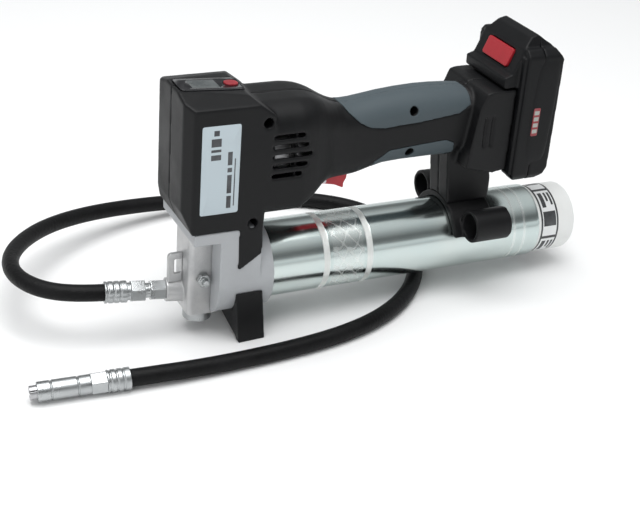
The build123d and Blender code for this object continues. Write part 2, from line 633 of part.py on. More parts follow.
# ---------------------------------------------------------------- saddle with the nozzle holders
saddle = (tube_x(barrel_r + saddle_wall, barrel_r + sliding, *saddle_x) & block(140, 200, -60, 60, saddle_low, 60))
for side in (-1, 1):
    y = side * holder_y
    saddle += cylinder_x(holder_r, *holder_x, y, holder_z)
    saddle += block(holder_x[0] + 2, saddle_x[1], min(side * 26.0, y), max(side * 26.0, y), holder_z - 9, holder_z + 6)
saddle -= cylinder_x(barrel_r + sliding, 100, 240)
for side in (-1, 1):
    saddle -= cylinder_x(holder_bore_r, holder_x[0] - 1, holder_x[1] + 1, side * holder_y, holder_z)
holder_screws = []
for x in holder_screw_x:
    screw = (cylinder_z(3.4, barrel_r + 0.6, barrel_r + 3.0, x) + cylinder_z(2.0, barrel_r + 2.0, holder_screw_top, x))
    saddle -= screw
    holder_screws.append(screw)
parts["nozzle_holder"] = saddle
parts["holder_screws"] = Compound(holder_screws)

# ---------------------------------------------------------------- battery
battery_side = [
    (battery_front + 2.0, 56.0), (battery_front + 6.0, battery_bottom), (213.0, battery_bottom), (217.0, 56.6),
    (battery_rear, 62.0), (battery_rear, 148.5), (215.0, battery_top), (battery_front + 2.0, battery_top),
]
hood_side = [
    (176.0, receiver_top + 1.5), (176.0, 134.6), (182.0, 136.5), (189.5, 154.5), (197.0, 162.5), (203.0, 164.5),
    (209.0, 160.0), (214.0, battery_top + 1.0), (214.0, 146.0), (198.0, receiver_top + 1.5),
]
half = battery_half_width
battery_front_view = [
    (-half, battery_bottom + 5.0), (-half + 5.0, battery_bottom), (half - 5.0, battery_bottom),
    (half, battery_bottom + 5.0), (half, battery_top - 5.0), (half - 5.0, battery_top), (-half + 5.0, battery_top),
    (-half, battery_top - 5.0)]


def battery_body(inset):
    """The main block of the battery, its outside or, drawn in by a wall, its inside."""
    return (side_prism(battery_side, -half, half, inset, 1.5)
            & front_prism(battery_front_view, 160, 240, 3.0, inset))


battery_outer = battery_body(0)
battery_outer += block(battery_front, battery_split, -half + 3.0, half - 3.0, battery_bottom + 6.0, 150.0)
battery_outer += (
    side_prism(hood_side, -half, half, 0.0, 1.2)
    & front_prism([(-28, 100), (28, 100), (28, 152), (20, 170), (-20, 170), (-28, 152)], 160, 240, 3.0))
battery_inner = battery_body(battery_wall) & block(battery_front + 8.4, 260, -60, 60, 0, 200)
battery_shell = battery_outer - battery_inner
rail_gap = sliding
battery_shell -= block(battery_front - 1, battery_front + 3.0, -rail_half_width + 3.0 - rail_gap,
                       rail_half_width - 3.0 + rail_gap, 0, rail_z[1] + 1.0)
battery_shell -= block(battery_front + 3.0 - rail_gap, battery_front + 6.4, -rail_half_width - rail_gap,
                       rail_half_width + rail_gap, 0, rail_z[1] + 1.0)
for y in contact_y:
    battery_shell -= block(battery_front + 5.0, battery_front + 9.0, y - 0.5 - rail_gap, y + 0.5 + rail_gap,
                           0, contact_z[1] + 1.0)
# the release button sits in a pocket in the sloping front of the hood
release_low, release_high = hood_side[2], hood_side[3]
slope_length = hypot(release_high[0] - release_low[0], release_high[1] - release_low[1])
slope = ((release_high[0] - release_low[0]) / slope_length, (release_high[1] - release_low[1]) / slope_length)
release_plane = Plane(
    origin=((release_low[0] + release_high[0]) / 2, 0, (release_low[1] + release_high[1]) / 2),
    x_dir=(0, -1, 0), z_dir=(-slope[1], 0, slope[0]))
pocket = RectangleRounded(2 * (release_half_width + rail_gap), release_length + 2 * rail_gap, 2.0 + rail_gap)
button = RectangleRounded(2 * release_half_width, release_length, 2.0)
battery_shell -= extrude(release_plane.offset(-6.6) * pocket, amount=20)
parts["release_button"] = extrude(release_plane.offset(-3.0) * button, amount=4.4)
parts["battery_front_shell"] = battery_shell & block(150, battery_split, -60, 60, 0, 200)
parts["battery_rear_shell"] = battery_shell & block(battery_split, 260, -60, 60, 0, 200)
cell_x = battery_rear - battery_wall - cell_r - 0.5
cell_middle_z = (battery_bottom + battery_top) / 2 - 0.2
parts["battery_cells"] = Compound([
    cylinder_y(cell_r, -cell_length / 2, cell_length / 2, cell_x, cell_middle_z + 2 * (cell_r + 0.05) * place)
    for place in (-2, -1, 0, 1, 2)])
parts["receiver_contacts"] = Compound([
    block(battery_front - 4.0, battery_front + 8.4, y - 0.5, y + 0.5, *contact_z) for y in contact_y])

# ---------------------------------------------------------------- foot
rest_tilt = atan((foot_drop - barrel_r - 2 * hose_r - hose_clearance) / (hose_under_barrel_x - foot_middle))
foot = side_prism([(-29.5, foot_top), (-9.0, foot_top), (-5.0, -52.0), (-25.5, -52.0)], -60, 60)
foot &= front_prism([
    (-foot_half_width, foot_top), (-foot_half_width, -60), (-foot_half_width + foot_pad, -60),
    (-foot_half_width + foot_pad, -foot_drop + 2.0), (0, -foot_arch), (foot_half_width - foot_pad, -foot_drop + 2.0),
    (foot_half_width - foot_pad, -60), (foot_half_width, -60), (foot_half_width, foot_top)], -60, 60)
foot -= cylinder_x(collar_r + seat, -100, 100)
floor_block = (Pos(foot_middle, 0, -foot_drop) * Rot(0, -degrees(rest_tilt), 0) * Pos(0, 0, -50)
               * Box(600, 600, 100))
foot -= floor_block
foot_screw_y = 12.0
foot_screws = []
for y in (-foot_screw_y, foot_screw_y):
    foot -= cylinder_z(4.2, -60, -37.5, -18.5, y)
    foot -= cylinder_z(2.1, -60, -20, -18.5, y)
    foot_screws.append(cylinder_z(4.0, -41.0, -37.5, -18.5, y) + cylinder_z(2.0, -40.0, -24.0, -18.5, y)
                       - extrude(Plane(origin=(-18.5, y, -42)) * RegularPolygon(1.8, 6), amount=3.0))
    parts["head_casting"] -= cylinder_z(2.1, -40, -23.5, -18.5, y)
parts["foot"] = foot
parts["foot_screws"] = Compound(foot_screws)

# ---------------------------------------------------------------- fittings at the outlet
adapter_end = outlet_length + adapter_length
parts["outlet_adapter"] = (along_outlet(5.0 - running, outlet_length - 5.5, outlet_length)
                           + along_outlet(0, outlet_length, adapter_end - 3.0, adapter_flats)
                           + along_outlet(5.4, adapter_end - 3.0, adapter_end + 1.0)
                           + along_outlet(3.6, adapter_end, adapter_end + 9.0)
                           - along_outlet(1.8, 0, 90))
nut_start = adapter_end + 1.0
nut_end = nut_start + nut_length
parts["hose_nut"] = (along_outlet(0, nut_start, nut_end - 3.0, nut_flats)
                     + along_outlet(6.4, nut_end - 3.0, nut_end)
                     - along_outlet(3.6 + running, nut_start - 1, nut_start + 9.5)
                     - along_outlet(1.8, 0, 90))
ferrule_end = nut_end + ferrule_length
ferrule = along_outlet(ferrule_r, nut_end, ferrule_end) - along_outlet(1.8, 0, 120)
for groove in range(3):
    start = nut_end + 4.0 + groove * 4.5
    ferrule -= along_outlet(ferrule_r + 1, start, start + 1.6) - along_outlet(ferrule_r - 0.5, start - 1, start + 3)
parts["ferrule_front"] = ferrule

# ---------------------------------------------------------------- standing position
standing = Rot(0, degrees(rest_tilt), 0)
on_hose = ("hose_nut", "ferrule_front")
gun_names = [name for name in parts if name not in on_hose]
box = (standing * Compound([parts[name] for name in gun_names])).bounding_box(optimal=True)
to_row = Pos(-(box.min.X + box.max.X) / 2, -(box.min.Y + box.max.Y) / 2, -box.min.Z) * standing

# ---------------------------------------------------------------- hose
# The hose leaves the front ferrule, loops round to the gun's right, comes back along
# the ground, turns under the barrel and ends beside the foot with its coupler.
hose_first_run = 18.0
exit_points = [tuple((to_row * Location(outlet.offset(ferrule_end + along).origin)).position)
               for along in (0.0, hose_first_run)]
hose_lay = [
    (-237.8, 21.8, 40.2), (-250.1, 38.8, 41.0), (-253.9, 60.5, 40.6), (-247.9, 85.2, 38.6), (-231.6, 111.8, 35.0),
    (-205.3, 138.0, 29.8), (-169.0, 159.0, 23.0), (-125.0, 172.0, 16.0), (-77.0, 176.5, 10.0), (-28.2, 170.0, hose_r),
    (18.5, 152.9, hose_r), (48.0, 131.0, hose_r), (66.0, 103.0, hose_r), (72.0, 68.0, hose_r), (66.0, 32.0, hose_r),
    (50.0, -1.0, hose_r), (27.0, -28.0, hose_r), (-4.0, -48.0, hose_r), (-40.0, -59.0, hose_r),
    (-80.0, -63.2, hose_r), (-125.0, -63.6, hose_r), (-160.0, -62.8, 7.2), (-182.5, -61.2, ferrule_r),
    (-202.8, -58.9, ferrule_r),
]
hose_points = [Vector(*p) for p in exit_points + hose_lay]
hose_radii = []
for before, corner, after in zip(hose_points, hose_points[1:], hose_points[2:]):
    half_turn = radians((corner - before).get_angle(after - corner)) / 2
    shorter = min((corner - before).length, (after - corner).length)
    hose_radii.append(0.45 * shorter / tan(half_turn))
hose_path = FilletPolyline(*hose_points, radius=hose_radii)
hose_length = hose_path.length
hose_start = Plane(origin=hose_points[0], z_dir=hose_points[1] - hose_points[0])
hose = sweep(hose_start * Circle(hose_r), path=hose_path)
print("hose radii", [round(r) for r in hose_radii])
print("hose length", round(hose_length, 1), "volume ratio", round(hose.volume / (pi * hose_r**2 * hose_length), 4))
print("hose starts", [tuple(round(c, 2) for c in p) for p in exit_points])

# the far end: ferrule, hexagon and grease coupler on one line, lying on the ground
end_plane = Plane(origin=hose_points[-1], x_dir=(0, 0, 1), z_dir=hose_points[-1] - hose_points[-2])


def along_end(radius, start, end, flats=0.0):
    """A round or hexagonal bar on the line of the hose's far end."""
    outline = RegularPolygon(flats / 2, 6, major_radius=False) if flats else Circle(radius)
    return extrude(end_plane.offset(start) * outline, amount=end - start)


ferrule_back = along_end(ferrule_r, 0, ferrule_length) - along_end(1.8, -1, 60)
for groove in range(3):
    start = 4.0 + groove * 4.5
    ferrule_back -= along_end(ferrule_r + 1, start, start + 1.6) - along_end(ferrule_r - 0.5, start - 1, start + 3)
hex_start = ferrule_length
coupler_start = hex_start + end_hex_length
coupler_end = coupler_start + coupler_length
end_fittings = {"ferrule_back": ferrule_back}
end_fittings["end_hex"] = along_end(0, hex_start, coupler_start, end_hex_flats) - along_end(1.8, -1, 60)
coupler = along_end(coupler_r, coupler_start, coupler_end) - along_end(1.8, 0, 60)
coupler -= along_end(coupler_bore_r, coupler_end - 16.0, coupler_end + 1)
for groove in (8.0, 26.0):
    start = coupler_start + groove
    coupler -= along_end(coupler_r + 1, start, start + 1.2) - along_end(coupler_r - 0.6, start - 1, start + 3)
end_fittings["coupler_body"] = coupler
jaw_ring = (along_end(coupler_bore_r - running, coupler_end - 12.0, coupler_end + jaw_reach)
            - along_end(nipple_r + sliding, coupler_end - 13.0, coupler_end + jaw_reach + 1))
jaw_slots = Compound([end_plane.offset(coupler_end - 13.0).location * Rot(0, 0, turn)
                      * Pos(0, 0, 12) * Box(30, 0.8, 26) for turn in (45, 135)])
end_fittings["coupler_jaws"] = jaw_ring - jaw_slots

placed = {name: to_row * shape for name, shape in parts.items()}
placed["hose"] = hose
placed.update(end_fittings)

os.makedirs("parts", exist_ok=True)
for name, shape in placed.items():
    export_step(shape, f"parts/{name}.step")
print("nodes", len(placed), "rest tilt", round(degrees(rest_tilt), 4), "shift", to_row.position)
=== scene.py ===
import json

import bmesh
import bpy
import numpy as np
from mathutils import Matrix, Vector


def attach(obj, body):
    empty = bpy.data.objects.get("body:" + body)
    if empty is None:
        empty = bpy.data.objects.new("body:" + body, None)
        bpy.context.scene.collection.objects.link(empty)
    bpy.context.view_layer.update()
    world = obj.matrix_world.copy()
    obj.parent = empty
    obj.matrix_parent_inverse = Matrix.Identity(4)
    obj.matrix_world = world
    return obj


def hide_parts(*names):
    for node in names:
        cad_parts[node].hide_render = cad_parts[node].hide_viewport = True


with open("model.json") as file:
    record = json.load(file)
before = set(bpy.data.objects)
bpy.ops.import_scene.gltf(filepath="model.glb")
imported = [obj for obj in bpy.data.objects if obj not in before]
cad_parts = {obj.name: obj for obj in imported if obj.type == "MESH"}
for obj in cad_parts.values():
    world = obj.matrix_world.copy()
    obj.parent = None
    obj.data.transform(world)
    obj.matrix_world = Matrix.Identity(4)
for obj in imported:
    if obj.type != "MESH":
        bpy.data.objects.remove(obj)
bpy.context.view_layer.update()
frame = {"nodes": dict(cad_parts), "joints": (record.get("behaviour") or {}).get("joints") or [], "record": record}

# ---------------------------------------------------------------- camera
# One camera above and to the left of the gun's head, looking along the gun towards
# its battery, with a long lens so that the barrel keeps its proportions.
camera_place = Vector((-0.4231, -0.7997, 0.5313))
camera_right = Vector((0.9073, -0.4191, 0.0361)).normalized()
camera_forward = Vector((0.3825, 0.786, -0.4856)).normalized()
camera_data = bpy.data.cameras.new("camera")
camera_data.lens = 75.94
camera_data.sensor_width = 36.0
camera_data.clip_end = 20.0
camera = bpy.data.objects.new("camera", camera_data)
camera_up = camera_right.cross(camera_forward)
turn = Matrix((camera_right, camera_up, -camera_forward)).transposed().to_4x4()
camera.matrix_world = Matrix.Translation(camera_place) @ turn
bpy.context.collection.objects.link(camera)
bpy.context.scene.camera = camera

# ---------------------------------------------------------------- hose
# A grease whip: a black rubber cover over a steel braid, 12.5 mm thick.  It leaves the
# front ferrule, loops round behind the gun, turns under the barrel and ends in the
# back ferrule beside the foot.  It lies free, so its line is one smooth spline.
hose_r = 0.00625
ferrule_r = 0.008
hose_route = [
    (-0.19934, 0.00946, 0.03730), (-0.21712, 0.01196, 0.03865), (-0.2378, 0.0218, 0.0402),
    (-0.2501, 0.0388, 0.0410), (-0.2539, 0.0605, 0.0406), (-0.2479, 0.0852, 0.0386),
    (-0.2316, 0.1118, 0.0350), (-0.2053, 0.1380, 0.0298), (-0.1690, 0.1590, 0.0230),
    (-0.1250, 0.1720, 0.0160), (-0.0770, 0.1765, 0.0100), (-0.0282, 0.1700, hose_r),
    (0.0185, 0.1529, hose_r), (0.0480, 0.1310, hose_r), (0.0660, 0.1030, hose_r),
    (0.0720, 0.0680, hose_r), (0.0660, 0.0320, hose_r), (0.0500, -0.0010, hose_r),
    (0.0270, -0.0280, hose_r), (-0.0040, -0.0480, hose_r), (-0.0400, -0.0590, hose_r),
    (-0.0800, -0.0632, hose_r), (-0.1250, -0.0636, hose_r), (-0.1600, -0.0628, 0.0072),
    (-0.1825, -0.0612, ferrule_r), (-0.2028, -0.0589, ferrule_r),
]


def new_material(name, colour, roughness, metallic=0.0, level=0.5):
    """A material whose Principled shader has the given plain values; returns it with its nodes."""
    material = bpy.data.materials.new(name)
    material.use_nodes = True
    nodes = material.node_tree.nodes
    shader = nodes["Principled BSDF"]
    shader.inputs["Base Color"].default_value = (*colour, 1.0)
    shader.inputs["Roughness"].default_value = roughness
    shader.inputs["Metallic"].default_value = metallic
    shader.inputs["Specular IOR Level"].default_value = level
    return material


def add_node(tree, kind, **inputs):
    """A new node of that kind, with its inputs set by name, "_" standing for a space."""
    node = tree.nodes.new(kind)
    for name, value in inputs.items():
        node.inputs[name.replace("_", " ")].default_value = value
    return node


def math_node(tree, operation, first, second=None, clamp=False):
    """One arithmetic node; each operand is a number or another node's output."""
    node = tree.nodes.new("ShaderNodeMath")
    node.operation = operation
    node.use_clamp = clamp
    for place, value in enumerate((first, second)):
        if value is None:
            continue
        if isinstance(value, (int, float)):
            node.inputs[place].default_value = value
        else:
            tree.links.new(value, node.inputs[place])
    return node.outputs[0]


def surface_group():
    """The node group "surface_life": grain for the bump, and patchy handling marks.

    Grain is fine noise.  Marks is a slow noise cut by a finer one, between 0 and 1.
    Scratches is thin streaks: noise stretched a hundred to one, kept only near its peak.
    """
    tree = bpy.data.node_groups.new("surface_life", "ShaderNodeTree")
    for name, socket in (("Vector", "NodeSocketVector"), ("Grain Scale", "NodeSocketFloat"),
                         ("Mark Scale", "NodeSocketFloat")):
        tree.interface.new_socket(name, in_out="INPUT", socket_type=socket)
    for name in ("Grain", "Marks", "Scratches"):
        tree.interface.new_socket(name, in_out="OUTPUT", socket_type="NodeSocketFloat")
    entry = tree.nodes.new("NodeGroupInput")
    exit_node = tree.nodes.new("NodeGroupOutput")
    grain = add_node(tree, "ShaderNodeTexNoise", Detail=3.0, Roughness=0.6)
    slow = add_node(tree, "ShaderNodeTexNoise", Detail=5.0, Roughness=0.65)
    stretch = tree.nodes.new("ShaderNodeMapping")
    stretch.inputs["Scale"].default_value = (30.0, 900.0, 1400.0)
    stretch.inputs["Rotation"].default_value = (0.3, 0.5, 0.2)
    streak = add_node(tree, "ShaderNodeTexNoise", Scale=1.0, Detail=2.0)
    for texture in (grain, slow):
        tree.links.new(entry.outputs["Vector"], texture.inputs["Vector"])
    tree.links.new(entry.outputs["Vector"], stretch.inputs["Vector"])
    tree.links.new(stretch.outputs["Vector"], streak.inputs["Vector"])
    tree.links.new(entry.outputs["Grain Scale"], grain.inputs["Scale"])
    tree.links.new(entry.outputs["Mark Scale"], slow.inputs["Scale"])
    tree.links.new(grain.outputs[0], exit_node.inputs["Grain"])
    marks = tree.nodes.new("ShaderNodeMapRange")
    marks.inputs["From Min"].default_value = 0.38
    marks.inputs["From Max"].default_value = 0.68
    tree.links.new(slow.outputs[0], marks.inputs["Value"])
    tree.links.new(marks.outputs[0], exit_node.inputs["Marks"])
    thin = tree.nodes.new("ShaderNodeMapRange")
    thin.inputs["From Min"].default_value = 0.66
    thin.inputs["From Max"].default_value = 0.74
    tree.links.new(streak.outputs[0], thin.inputs["Value"])
    kept = math_node(tree, "MULTIPLY", thin.outputs[0], marks.outputs[0])
    tree.links.new(kept, exit_node.inputs["Scratches"])
    return tree


surface_life = surface_group()


def give_life(material, grain_scale, bump, mark_scale=45.0, rough_swing=0.1, worn_colour=None,
              worn_share=0.15, scratch_share=0.0, base_mix=None):
    """Adds the surface_life group to a material: bump, uneven roughness and worn colour.

    Roughness is its plain value plus marks times rough_swing.  Colour goes from the
    plain one towards worn_colour by marks times worn_share plus scratches times scratch_share.
    """
    tree = material.node_tree
    shader = tree.nodes["Principled BSDF"]
    place = tree.nodes.new("ShaderNodeTexCoord")
    life = tree.nodes.new("ShaderNodeGroup")
    life.node_tree = surface_life
    life.inputs["Grain Scale"].default_value = grain_scale
    life.inputs["Mark Scale"].default_value = mark_scale
    tree.links.new(place.outputs["Object"], life.inputs["Vector"])
    uneven = math_node(tree, "MULTIPLY_ADD", life.outputs["Marks"], rough_swing)
    uneven.node.inputs[2].default_value = shader.inputs["Roughness"].default_value
    tree.links.new(uneven, shader.inputs["Roughness"])
    height = add_node(tree, "ShaderNodeBump", Strength=bump, Distance=0.0004)
    tree.links.new(life.outputs["Grain"], height.inputs["Height"])
    tree.links.new(height.outputs["Normal"], shader.inputs["Normal"])
    if worn_colour is not None:
        share = math_node(tree, "MULTIPLY", life.outputs["Marks"], worn_share)
        lines = math_node(tree, "MULTIPLY", life.outputs["Scratches"], scratch_share)
        amount = math_node(tree, "ADD", share, lines, clamp=True)
        mix = tree.nodes.new("ShaderNodeMix")
        mix.data_type = "RGBA"
        mix.inputs["A"].default_value = shader.inputs["Base Color"].default_value
        if base_mix is not None:
            tree.links.new(base_mix, mix.inputs["A"])
        mix.inputs["B"].default_value = (*worn_colour, 1.0)
        tree.links.new(amount, mix.inputs["Factor"])
        tree.links.new(mix.outputs["Result"], shader.inputs["Base Color"])
    return material


hose_rubber = give_life(new_material("hose_rubber", (0.0022, 0.0022, 0.0025), 0.44, level=0.16),
                        420.0, 1.0, 30.0, 0.14, (0.012, 0.012, 0.013), 0.5, 0.4)
curve = bpy.data.curves.new("hose_line", "CURVE")
curve.dimensions = "3D"
spline = curve.splines.new("NURBS")
spline.points.add(len(hose_route) - 1)
for point, place in zip(spline.points, hose_route):
    point.co = (*place, 1.0)
spline.order_u = 3
spline.use_endpoint_u = True
spline.resolution_u = 10
curve.bevel_depth = hose_r
curve.bevel_resolution = 8
curve.use_fill_caps = True
curve.materials.append(hose_rubber)
hose = bpy.data.objects.new("hose_line", curve)
bpy.context.collection.objects.link(hose)
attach(hose, "gun")
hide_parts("hose")

# ---------------------------------------------------------------- the gun's own directions
# The gun stands nose up by a few degrees.  Its drawings measure along the barrel from
# the rear edge of the cast collar, across to the right, and up from the barrel's axis.
barrel_joint = next(joint for joint in frame["joints"] if joint["name"] == "barrel_turn")
barrel_start = np.array(barrel_joint["pos_m"])
along = np.array(barrel_joint["axis"])
across = np.array((0.0, 1.0, 0.0))
upward = np.cross(along, across)
gun_axes = np.stack((along, across, upward))
body_of_node = {node: body for body, nodes in frame["record"]["behaviour"]["bodies"].items()
                for node in nodes}


def on_gun(points):
    """Points drawn in millimetres on the gun's own axes, as places in metres."""
    return barrel_start + np.asarray(points, float) @ gun_axes / 1000.0


def link_piece(name, mesh, body, slot, material, *replaced):
    """Makes the mesh a piece that rides on a body and stands for CAD nodes; slot is not used."""
    piece = bpy.data.objects.new(name, mesh)
    bpy.context.collection.objects.link(piece)
    mesh.materials.clear()
    mesh.materials.append(material)
    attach(piece, body)
    if replaced:
        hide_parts(*replaced)
    return piece


def apply_modifiers(piece):
    """Leaves the piece with the mesh that its modifiers make."""
    graph = bpy.context.evaluated_depsgraph_get()
    made = bpy.data.meshes.new_from_object(piece.evaluated_get(graph))
    piece.modifiers.clear()
    piece.data = made


def merged_mesh(node):
    """A copy of a CAD node's mesh with its loose triangles joined into one skin."""
    mesh = frame["nodes"][node].data.copy()
    work = bmesh.new()
    work.from_mesh(mesh)
    bmesh.ops.remove_doubles(work, verts=work.verts, dist=1e-6)
    bmesh.ops.dissolve_limit(work, angle_limit=0.004, verts=work.verts, edges=work.edges)
    work.to_mesh(mesh)
    work.free()
    return mesh


def moulded(node, slot, material, grain, rounding):
    """A moulded or cast piece: the CAD shape in cells of size grain, relaxed so that its edges round."""
    piece = link_piece(node + "_skin", merged_mesh(node), body_of_node[node], slot, material, node)
    cells = piece.modifiers.new("cells", "REMESH")
    cells.mode = "VOXEL"
    cells.voxel_size = grain
    cells.use_smooth_shade = True
    relax = piece.modifiers.new("relax", "SMOOTH")
    relax.factor = 0.5
    relax.iterations = rounding
    apply_modifiers(piece)
    return piece


def machined(node, slot, material, edge, segments=2):
    """A turned or milled piece: the CAD shape with its sharp edges broken by a small bevel."""
    piece = link_piece(node + "_skin", merged_mesh(node), body_of_node[node], slot, material, node)
    broken = piece.modifiers.new("broken_edges", "BEVEL")
    broken.width = edge
    broken.segments = segments
    broken.limit_method = "ANGLE"
    broken.angle_limit = 0.6
    broken.harden_normals = True
    apply_modifiers(piece)
    piece.data.shade_smooth()
    piece.data.set_sharp_from_angle(angle=0.7)
    return piece


def grid_mesh(name, points, closed_across=False, uv=None, mask=None):
    """A mesh whose vertices are a grid of points (rows, columns, 3), with each cell one face.

    closed_across joins the last column to the first.  uv is one pair a grid point and
    mask one number a grid point, kept as the attribute "mask".
    """
    rows, columns = points.shape[:2]
    number = np.arange(rows * columns).reshape(rows, columns)
    if closed_across:
        number = np.concatenate((number, number[:, :1]), axis=1)
    faces = np.stack((number[:-1, :-1], number[:-1, 1:], number[1:, 1:], number[1:, :-1]), axis=-1)
    mesh = bpy.data.meshes.new(name)
    mesh.from_pydata(points.reshape(-1, 3), [], faces.reshape(-1, 4))
    if uv is not None:
        layer = mesh.uv_layers.new(name="surface")
        corner = np.zeros(len(mesh.loops), np.int32)
        mesh.loops.foreach_get("vertex_index", corner)
        layer.data.foreach_set("uv", uv.reshape(-1, 2)[corner].astype(np.float32).ravel())
    if mask is not None:
        store = mesh.attributes.new("mask", "FLOAT", "POINT")
        store.data.foreach_set("value", mask.astype(np.float32).ravel())
    mesh.shade_smooth()
    mesh.validate()
    return mesh


# ---------------------------------------------------------------- housing
# Two moulded halves of black glass-filled nylon, screwed together from the left.  The
# mould leaves a fine grain on them, and handling polishes them in patches.
housing_black = give_life(new_material("housing_black", (0.0036, 0.0038, 0.0044), 0.42, level=0.22),
                          1500.0, 0.22, 26.0, 0.12, (0.012, 0.012, 0.0125), 0.35, 0.25)
for half in ("housing_left", "housing_right"):
    moulded(half, "housing_plastic", housing_black, 0.0009, 9)

# ---------------------------------------------------------------- soft grips
# Slate-grey soft rubber moulded into the handle's skin above and below, with a bare
# black band between the two.
grip_slate = give_life(new_material("grip_slate", (0.060, 0.078, 0.088), 0.55, level=0.3),
                       2200.0, 0.35, 35.0, 0.1, (0.075, 0.095, 0.105), 0.35)
for half in ("grip_left", "grip_right"):
    moulded(half, "grip_rubber", grip_slate, 0.0006, 3)

# ---------------------------------------------------------------- side label
# A printed foil label on the left of the head: pale blue-grey, with rounded corners
# and a few dark bars as its only print.
label_x, label_z = (-59.4, -31.8), (59.2, 124.3)
label_corner = 1.6
corner_steps = 8
least_corner = 0.05
head_side_y = -34.0


def label_print(name, paper, ink, bars):
    """A material that prints bars on paper; a bar is (low u, high u, low v, high v) of the UV map."""
    material = new_material(name, paper, 0.32)
    tree = material.node_tree
    shader = tree.nodes["Principled BSDF"]
    place = tree.nodes.new("ShaderNodeUVMap")
    parts = tree.nodes.new("ShaderNodeSeparateXYZ")
    tree.links.new(place.outputs["UV"], parts.inputs[0])
    total = None
    for low_u, high_u, low_v, high_v in bars:
        inside = math_node(tree, "GREATER_THAN", parts.outputs["X"], low_u)
        for operation, output, limit in (("LESS_THAN", "X", high_u), ("GREATER_THAN", "Y", low_v),
                                         ("LESS_THAN", "Y", high_v)):
            side = math_node(tree, operation, parts.outputs[output], limit)
            inside = math_node(tree, "MULTIPLY", inside, side)
        total = inside if total is None else math_node(tree, "MAXIMUM", total, inside)
    mix = tree.nodes.new("ShaderNodeMix")
    mix.data_type = "RGBA"
    mix.inputs["A"].default_value = (*paper, 1.0)
    mix.inputs["B"].default_value = (*ink, 1.0)
    tree.links.new(total, mix.inputs["Factor"])
    return give_life(material, 700.0, 0.05, 60.0, 0.1, (0.5, 0.54, 0.57), 0.12, 0.0,
                     mix.outputs["Result"])


def rounded_rim(low, high, corner):
    """Points of a rounded rectangle's rim, from its two opposite corners.

    Each corner is a quarter circle of radius corner, worked round by quarter turns.
    """
    (low_u, low_v), (high_u, high_v) = low, high
    turn_by = np.linspace(0.0, np.pi / 2, corner_steps)
    rim = []
    corners = ((high_u, high_v), (low_u, high_v), (low_u, low_v), (high_u, low_v))
    for quarter, (u, v) in enumerate(corners):
        centre = (u - corner * (1 if u == high_u else -1), v - corner * (1 if v == high_v else -1))
        angle = turn_by + quarter * np.pi / 2
        rim.append(np.stack((centre[0] + corner * np.cos(angle),
                             centre[1] + corner * np.sin(angle)), axis=-1))
    return np.concatenate(rim)


def thin_plate(name, low, high, corner, levels, to_gun):
    """A thin plate: its rim carried through levels of (inset, height), closed at the middle.

    to_gun turns an array of (u, v, height) in millimetres into points on the gun.
    """
    rows, uv = [], []
    low, high = np.array(low), np.array(high)
    for inset, height in levels:
        rim = rounded_rim(low + inset, high - inset, max(corner - inset, least_corner))
        rows.append(np.concatenate((rim, np.full((len(rim), 1), height)), axis=1))
        uv.append((rim - low) / (high - low))
    middle = (low + high) / 2
    for share in (0.5, 0.0):
        rim = middle + (rows[-1][:, :2] - middle) * share
        rows.append(np.concatenate((rim, np.full((len(rim), 1), levels[-1][1])), axis=1))
        uv.append((rim - low) / (high - low))
    flat = np.stack(rows)
    return grid_mesh(name, on_gun(to_gun(flat)), True, np.stack(uv))


def to_left_side(flat):
    """(u, v, height) on the head's left side: u along the gun, v up, height outward to the left."""
    return np.stack((flat[..., 0], head_side_y - flat[..., 2], flat[..., 1]), axis=-1)


label_bars = [
    (0.24, 0.50, 0.62, 0.68), (0.24, 0.50, 0.71, 0.74), (0.24, 0.50, 0.77, 0.86), (0.30, 0.44, 0.89, 0.95),
    (0.68, 0.80, 0.06, 0.20), (0.68, 0.80, 0.23, 0.44), (0.68, 0.80, 0.47, 0.52), (0.68, 0.80, 0.55, 0.70),
    (0.86, 0.89, 0.08, 0.62),
]
label_paper = label_print("label_paper", (0.47, 0.545, 0.585), (0.03, 0.03, 0.035), label_bars)
label_mesh = thin_plate("side_label", (label_x[0], label_z[0]), (label_x[1], label_z[1]), label_corner,
                        [(0.0, -0.3), (0.0, 0.16), (0.12, 0.22)], to_left_side)
link_piece("side_label", label_mesh, "gun", "display_grey", label_paper)

# ---------------------------------------------------------------- display and power button
# A glossy black panel let into the head's top, with a grey liquid-crystal window and
# an oval red power button behind it.
panel_black = give_life(new_material("panel_black", (0.010, 0.010, 0.012), 0.12), 500.0, 0.03, 40.0, 0.12)
window_grey = give_life(new_material("window_grey", (0.060, 0.068, 0.070), 0.24), 500.0, 0.02, 80.0, 0.08,
                        (0.14, 0.15, 0.15), 0.6)
button_red = give_life(new_material("button_red", (0.26, 0.008, 0.016), 0.40), 1800.0, 0.12, 60.0, 0.1,
                       (0.50, 0.03, 0.04), 0.4)
machined("display_panel", "panel_gloss", panel_black, 0.0004, 3)
machined("display_window", "display_grey", window_grey, 0.0001)
moulded("power_button", "red_plastic", button_red, 0.0003, 6)

# ---------------------------------------------------------------- screws and boards
# Blackened steel screws in deep holes, and the lacquered boards inside.
screw_black = give_life(new_material("screw_black", (0.03, 0.03, 0.032), 0.42, 0.9),
                        2500.0, 0.2, 90.0, 0.15)
board_green = give_life(new_material("board_green", (0.012, 0.10, 0.045), 0.35), 1200.0, 0.2, 120.0, 0.1)
contact_gold = give_life(new_material("contact_gold", (0.72, 0.52, 0.22), 0.25, 1.0),
                         1500.0, 0.1, 90.0, 0.15)
for node in ("housing_screws", "holder_screws", "foot_screws"):
    machined(node, "black_screw", screw_black, 0.0002)
for node in ("display_board", "control_board"):
    machined(node, "circuit_board", board_green, 0.0001)
machined("receiver_contacts", "contact_brass", contact_gold, 0.0001)

